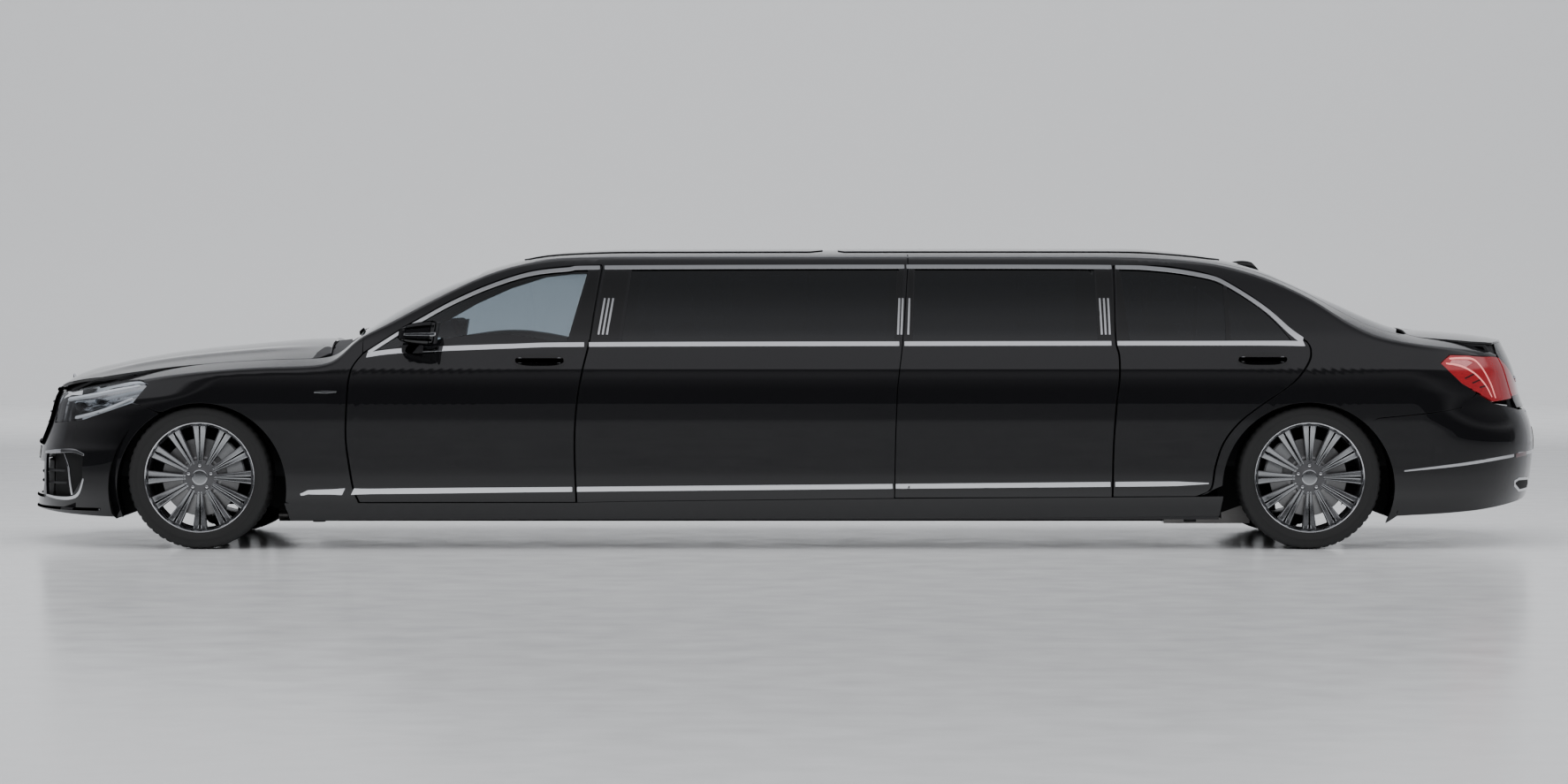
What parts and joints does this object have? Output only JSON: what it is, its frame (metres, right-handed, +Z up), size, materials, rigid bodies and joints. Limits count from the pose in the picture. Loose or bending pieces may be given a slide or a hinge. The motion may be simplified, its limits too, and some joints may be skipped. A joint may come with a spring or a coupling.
{
  "type": "stretch limousine",
  "caption": "Long black four-door saloon limousine with two fixed windows between the doors, chrome trim, opening doors, bonnet and boot, and steered front wheels.",
  "frame": {"origin": "on the ground, at the middle of the length and width", "axes": "+X to the tail, +Y to the car's right, +Z up"},
  "size_m": [7.3643, 2.131, 1.43],
  "materials": {
    "paint_black": "gloss",
    "chrome": "polished",
    "glass_clear": "clear, faint tint",
    "glass_dark": "dark privacy tint",
    "lamp_clear": "clear lamp cover",
    "lamp_red": "gloss",
    "black_plastic": "satin",
    "chassis_steel": "satin",
    "tyre_rubber": "matt",
    "alloy": "machined and lacquered",
    "cast_alloy": "as cast",
    "bare_steel": "satin",
    "seat_leather": "soft grain"
  },
  "bodies": {
    "front_door_left_body": {"front_door_left": "paint_black", "front_door_glass_left": "glass_clear", "front_door_handle_left": "chrome", "mirror_left": "paint_black"},
    "rear_door_left_body": {"rear_door_left": "paint_black", "rear_door_glass_left": "glass_dark", "rear_door_handle_left": "chrome"},
    "knuckle_left_body": {"knuckle_left": "cast_alloy"},
    "wheel_front_left": {"tyre_front_left": "tyre_rubber", "rim_front_left": "alloy"},
    "wheel_rear_left": {"tyre_rear_left": "tyre_rubber", "rim_rear_left": "alloy"},
    "front_door_right_body": {"front_door_right": "paint_black", "front_door_glass_right": "glass_clear", "front_door_handle_right": "chrome", "mirror_right": "paint_black"},
    "rear_door_right_body": {"rear_door_right": "paint_black", "rear_door_glass_right": "glass_dark", "rear_door_handle_right": "chrome"},
    "knuckle_right_body": {"knuckle_right": "cast_alloy"},
    "wheel_front_right": {"tyre_front_right": "tyre_rubber", "rim_front_right": "alloy"},
    "wheel_rear_right": {"tyre_rear_right": "tyre_rubber", "rim_rear_right": "alloy"},
    "bonnet_body": {"bonnet": "paint_black"},
    "boot_body": {"boot_lid": "paint_black"},
    "steering": {"steering_wheel": "black_plastic"},
    "body": {"front_wings": "paint_black", "front_bumper": "paint_black", "grille": "chrome", "headlights": "lamp_clear", "cowl": "black_plastic", "windscreen": "glass_clear", "rear_window": "glass_dark", "roof": "paint_black", "side_panels": "paint_black", "side_windows": "glass_dark", "rear_quarters": "paint_black", "tail_lights": "lamp_red", "rear_bumper": "paint_black", "sills": "paint_black", "cabin_frame": "chassis_steel", "door_hinges": "chassis_steel", "lid_hinges": "chassis_steel", "chassis_rails": "chassis_steel", "chassis_crossbeams": "chassis_steel", "front_subframe": "chassis_steel", "rear_subframe": "chassis_steel", "wheel_arch_liners": "black_plastic", "wheel_arch_walls": "black_plastic", "jacking_pads": "black_plastic", "engine": "cast_alloy", "propshaft": "bare_steel", "exhaust": "bare_steel", "fuel_tank": "black_plastic", "floor_pan": "chassis_steel", "dashboard": "black_plastic", "front_seats": "seat_leather", "saloon_seats": "seat_leather"}
  },
  "joints": [
    {"name": "front_door_left_hinge", "type": "hinge", "parent": "body", "child": "front_door_left_body", "pos_m": [-2.032, -0.933, 0.6], "axis": [0, 0, -1], "range_deg": [0, 65]},
    {"name": "rear_door_left_hinge", "type": "hinge", "parent": "body", "child": "rear_door_left_body", "pos_m": [1.609, -0.933, 0.6], "axis": [0, 0, -1], "range_deg": [0, 65]},
    {"name": "front_door_right_hinge", "type": "hinge", "parent": "body", "child": "front_door_right_body", "pos_m": [-2.032, 0.933, 0.6], "axis": [0, 0, 1], "range_deg": [0, 65]},
    {"name": "rear_door_right_hinge", "type": "hinge", "parent": "body", "child": "rear_door_right_body", "pos_m": [1.609, 0.933, 0.6], "axis": [0, 0, 1], "range_deg": [0, 65]},
    {"name": "bonnet_hinge", "type": "hinge", "parent": "body", "child": "bonnet_body", "pos_m": [-2.171, 0, 0.948], "axis": [0, 1, 0], "range_deg": [0, 45]},
    {"name": "boot_hinge", "type": "hinge", "parent": "body", "child": "boot_body", "pos_m": [3.022, 0, 1.031], "axis": [0, -1, 0], "range_deg": [0, 70]},
    {"name": "steer_left", "type": "hinge", "parent": "body", "child": "knuckle_left_body", "pos_m": [-2.783, -0.732, 0.342], "axis": [0, 0, 1], "range_deg": [-35, 35]},
    {"name": "steer_right", "type": "hinge", "parent": "body", "child": "knuckle_right_body", "pos_m": [-2.783, 0.732, 0.342], "axis": [0, 0, 1], "range_deg": [-35, 35]},
    {"name": "steering_turn", "type": "hinge", "parent": "body", "child": "steering", "pos_m": [-1.533, -0.37, 0.93], "axis": [0.8988, 0, 0.4384], "range_deg": [-490, 490]},
    {"name": "wheel_front_left_spin", "type": "hinge", "parent": "knuckle_left_body", "child": "wheel_front_left", "pos_m": [-2.783, -0.812, 0.342], "axis": [0, 1, 0], "continuous": true},
    {"name": "wheel_rear_left_spin", "type": "hinge", "parent": "body", "child": "wheel_rear_left", "pos_m": [2.502, -0.8185, 0.342], "axis": [0, 1, 0], "continuous": true},
    {"name": "wheel_front_right_spin", "type": "hinge", "parent": "knuckle_right_body", "child": "wheel_front_right", "pos_m": [-2.783, 0.812, 0.342], "axis": [0, 1, 0], "continuous": true},
    {"name": "wheel_rear_right_spin", "type": "hinge", "parent": "body", "child": "wheel_rear_right", "pos_m": [2.502, 0.8185, 0.342], "axis": [0, 1, 0], "continuous": true}
  ],
  "couplings": [
    {"joint": "steer_right", "follows": "steer_left", "ratio": 1},
    {"joint": "steering_turn", "follows": "steer_left", "ratio": 14}
  ]
}
